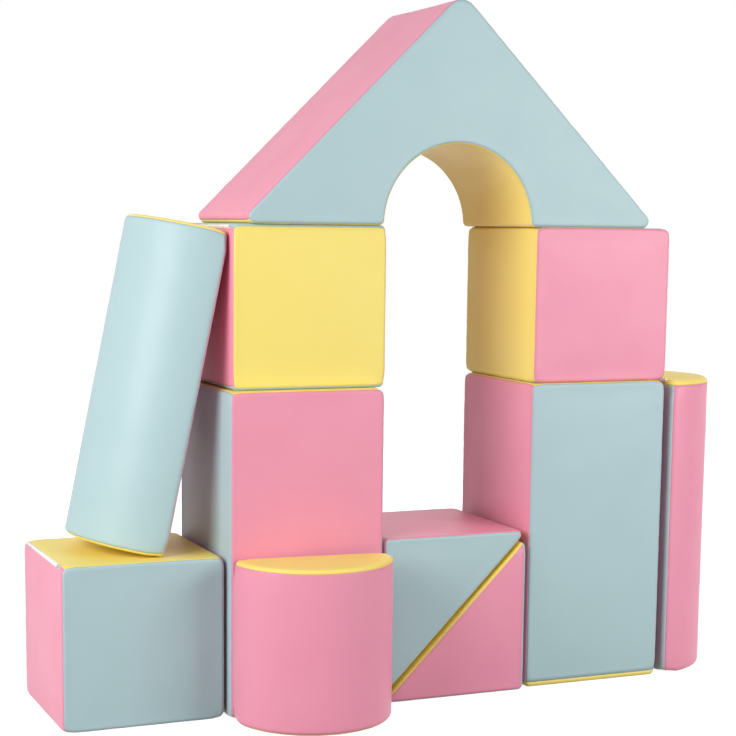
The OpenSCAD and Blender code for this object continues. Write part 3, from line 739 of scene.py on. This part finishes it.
DRUM_TURN = math.radians(5)
DRUM_GAP = 2 * MM
place = Matrix.Translation(
    (pillar_low.x + HALF_R, pillar_low.y - DRUM_GAP - HALF_R * math.sin(DRUM_TURN), 0)
) @ Matrix.Rotation(-DRUM_TURN, 4, "Z")
sew_block(
    "short_drum", cut_half_round(DRUM_H, DRUM_WRAP, 1), place, ("pink", "blue", "yellow"), PANEL_RISE,
    (DOWN,), END_SOFT, END_REACH,
)
sew_zip(
    "short_drum", place, (side_x, -SIDE_R, ZIP_MARGIN), UP, BACK_RIGHT, SIDE_R,
    DRUM_H - 2 * ZIP_MARGIN, "pink",
)
zip_x = math.sqrt((HALF_R - CORNER_R) ** 2 - CORNER_R ** 2) - ZIP_MARGIN
FOOT_R = 12 * MM
tip = next(j for j in frame["joints"] if j["name"] == "leaning_column_tip")
place = (
    Matrix.Translation(tip["pos_m"])
    @ Matrix.Rotation(math.radians(tip["range_deg"][1]), 4, "Y")
    @ Matrix.Rotation(-math.pi / 2, 4, "Z")
    @ Matrix.Translation((0, FOOT_R, -FOOT_R))
)
foot_down, flat_out = (tuple(place.to_3x3() @ Vector(side)) for side in (DOWN, (0, 1, 0)))
sew_block(
    "leaning_column", cut_half_round(COLUMN_H, LEAN_WRAP, LEAN_WRAP), place, ("blue", "pink", "yellow"),
    PANEL_RISE, (foot_down, flat_out), END_SOFT, END_REACH,
)
sew_zip(
    "leaning_column", place, (zip_x, -END_R, FOOT_R), (-1, 0, 0), (0, 1, 0), END_R, 2 * zip_x, "white", flat=1
)
low, high = block_corner("right_column")
place = Matrix.Translation((low.x, (low.y + high.y) / 2, 0)) @ Matrix.Rotation(math.pi / 2, 4, "Z")
sew_block(
    "right_column", cut_half_round(COLUMN_H, FULL_WRAP, CAP_WRAP), place, ("pink", "blue", "yellow"),
    PANEL_RISE, (DOWN,), END_SOFT, END_REACH,
)
sew_zip(
    "right_column", place, (-zip_x, -END_R, COLUMN_H - END_R), (1, 0, 0), (0, 1, 1), END_R, 2 * zip_x, "white"
)

# Roof
# One big triangular foam block with an arch cut through it, in a sewn cover. A pink panel is wrapped over
# the ridge, the ends are blue, and one yellow panel runs along both feet and round the arch.
# It bridges the two upper cubes.
ROOF_W = 870 * MM
ROOF_H = 428 * MM
ARCH_R = 152 * MM
EAVE_R = 12 * MM
RIDGE_R = 35 * MM
EAVE_STEPS = 9
ARCH_STEPS = 60
END_WRAP = 2
EAVE_FACING = -0.6
pitch = math.atan2(ROOF_H, ROOF_W / 2)
pitch_deg = math.degrees(pitch)
eave_x = ROOF_W / 2 - EAVE_R / math.tan(pitch / 2)
foot_x = math.sqrt((ARCH_R + CORNER_R) ** 2 - CORNER_R ** 2)
foot_turn = math.degrees(math.asin(CORNER_R / (ARCH_R + CORNER_R)))
roof_rounds = [
    ((eave_x, EAVE_R), EAVE_R, 270, 180 - pitch_deg, EAVE_STEPS),
    ((0, ROOF_H - RIDGE_R / math.cos(pitch)), RIDGE_R, 90 - pitch_deg, 2 * pitch_deg, 2 * ROUND_STEPS),
    ((-eave_x, EAVE_R), EAVE_R, 90 + pitch_deg, 180 - pitch_deg, EAVE_STEPS),
    ((-foot_x, CORNER_R), CORNER_R, 270, 90 - foot_turn, ROUND_STEPS),
    ((0, 0), ARCH_R, 180 - foot_turn, 2 * foot_turn - 180, ARCH_STEPS),
    ((foot_x, CORNER_R), CORNER_R, 180 + foot_turn, 90 - foot_turn, ROUND_STEPS),
]


def cut_roof():
    step = math.radians(180 - 2 * foot_turn) / ARCH_STEPS
    outer = ARCH_R + RIM_R / math.cos(step / 2)
    turns = [math.radians(foot_turn) + step * i for i in range(ARCH_STEPS + 1)]
    beyond = lines_between(outer + CELL, eave_x)
    above = lines_between(outer + CELL, ROOF_H - RIDGE_R - RIM_R)
    bm = cut_cover(
        roof_rounds, MODULE,
        spaced([outer * math.cos(a) for a in turns] + beyond + [-x for x in beyond], LEAST_GAP),
        spaced([outer * math.sin(a) for a in turns] + above, LEAST_GAP),
    )

    def scores(n, c):
        around = math.hypot(n.x, n.z)
        arch = n.x * c.x + n.z * c.z < 0 and math.hypot(c.x, c.z) < ARCH_R + CORNER_R
        below = arch or n.z < EAVE_FACING * around
        return [abs(n.y) * (1 if arch else END_WRAP), around * (not below), around * below]

    sort_panels(bm, scores)
    return bm


low, high = block_corner("roof")
place = Matrix.Translation(((low.x + high.x) / 2, low.y, low.z))
sew_block("roof", cut_roof(), place, ("blue", "pink", "yellow"), PANEL_RISE, (DOWN,))
CAD_EAVE_R = 16 * MM
roof_zip_start = RIDGE_R + ZIP_MARGIN
downhill = Vector((math.cos(pitch), 0, -math.sin(pitch)))
outward = Vector((math.sin(pitch), 0, math.cos(pitch)))
sew_zip(
    "roof", place, Vector((0, MODULE - RIM_R, ROOF_H)) + downhill * roof_zip_start - outward * RIM_R,
    downhill, outward + Vector((0, 1, 0)), RIM_R,
    math.hypot(ROOF_W / 2, ROOF_H) - roof_zip_start - 4 * CAD_EAVE_R - ZIP_MARGIN, "pink",
)

# Floor, light and camera
# A plain white floor and backdrop, soft light from large boxes to the left, the right and behind, and a
# long lens at the height of the upper cubes.
FLOOR_HALF = 12
# The paper's own light, as the eye sees it: the floor runs into the white backdrop and keeps its shadows.
WHITE_SHARE = 0.9
AMBIENT = 0.35


def seen_directly(tree):
    """1 for rays from the eye and for mirrored and clear ones, else 0."""
    path = add(tree, "ShaderNodeLightPath").outputs
    seen = path["Is Camera Ray"]
    for kind in ("Is Glossy Ray", "Is Transmission Ray"):
        seen = add(
            tree, "ShaderNodeMath", [], [(0, seen), (1, path[kind])], operation="MAXIMUM"
        ).outputs["Value"]
    return seen


floor_mesh = bpy.data.meshes.new("studio_floor")
bm = bmesh.new()
bmesh.ops.create_grid(bm, x_segments=1, y_segments=1, size=FLOOR_HALF)
bm.to_mesh(floor_mesh)
bm.free()
floor = link("studio_floor", floor_mesh)
floor_paint, tree, out = new_material("white_paper")
paper = add(tree, "ShaderNodeBsdfDiffuse", [("Color", linear("#A0A0A0"))])
share = add(
    tree, "ShaderNodeMath", [(1, WHITE_SHARE)], [(0, seen_directly(tree))], operation="MULTIPLY"
).outputs["Value"]
white = add(tree, "ShaderNodeEmission", [("Color", (1, 1, 1, 1))], [("Strength", share)])
both = add(tree, "ShaderNodeAddShader", [], [(0, paper.outputs["BSDF"]), (1, white.outputs["Emission"])])
tree.links.new(both.outputs["Shader"], out.inputs["Surface"])
floor_mesh.materials.append(floor_paint)

world = bpy.data.worlds.new("studio")
bpy.context.scene.world = world
world.use_nodes = True
tree = world.node_tree
tree.nodes.clear()
level = add(
    tree, "ShaderNodeMapRange", [("To Min", AMBIENT), ("To Max", 1)], [("Value", seen_directly(tree))]
).outputs["Result"]
sky = add(tree, "ShaderNodeBackground", [("Color", (1, 1, 1, 1))], [("Strength", level)])
add(tree, "ShaderNodeOutputWorld", [], [("Surface", sky.outputs["Background"])])

BOX_SIZE = 1.6


def softbox(name, place, aim, watts):
    """A large square lamp that faces its aim."""
    lamp = bpy.data.lights.new(name, "AREA")
    lamp.shape = "SQUARE"
    lamp.size = BOX_SIZE
    lamp.energy = watts
    box = bpy.data.objects.new(name, lamp)
    bpy.context.scene.collection.objects.link(box)
    box.location = place
    box.rotation_euler = (Vector(aim) - Vector(place)).to_track_quat("-Z", "Y").to_euler()
    return box


softbox("key_softbox", (-2.7, -1.0, 1.5), (0, 0, 0.7), 69)
softbox("fill_softbox", (2.2, -2.6, 1.3), (0.2, 0, 0.8), 66)
# The light behind only fills the back: it isn't mirrored, or the upper wedge's top would glare.
softbox("back_softbox", (1.6, 3.2, 1.9), (0, 0, 0.6), 50).visible_glossy = False

SENSOR = 36
FRAME_PX = 736
FOCAL_PX = 1781.58
CENTRE_PX = (384.895, 474.011)
CAMERA_AT = (-1.4088, -3.0956, 0.8968)
YAW_DEG, DIP_DEG, ROLL_DEG = 23.736, 7.8986, 0.72246
yaw, dip, roll = (math.radians(a) for a in (YAW_DEG, DIP_DEG, ROLL_DEG))
ahead = Vector((math.sin(yaw) * math.cos(dip), math.cos(yaw) * math.cos(dip), -math.sin(dip)))
level_right = Vector((math.cos(yaw), -math.sin(yaw), 0))
level_up = level_right.cross(ahead)
right = level_right * math.cos(roll) + level_up * math.sin(roll)
upward = level_up * math.cos(roll) - level_right * math.sin(roll)
lens = bpy.data.cameras.new("camera")
lens.sensor_width = SENSOR
lens.lens = FOCAL_PX / FRAME_PX * SENSOR
lens.shift_x = (FRAME_PX / 2 - CENTRE_PX[0]) / FRAME_PX
lens.shift_y = (CENTRE_PX[1] - FRAME_PX / 2) / FRAME_PX
camera = bpy.data.objects.new("camera", lens)
bpy.context.scene.collection.objects.link(camera)
camera.matrix_world = Matrix.Translation(CAMERA_AT) @ Matrix(
    (right, upward, -ahead)
).transposed().to_4x4()
bpy.context.scene.camera = camera
bpy.context.scene.view_settings.view_transform = "Standard"
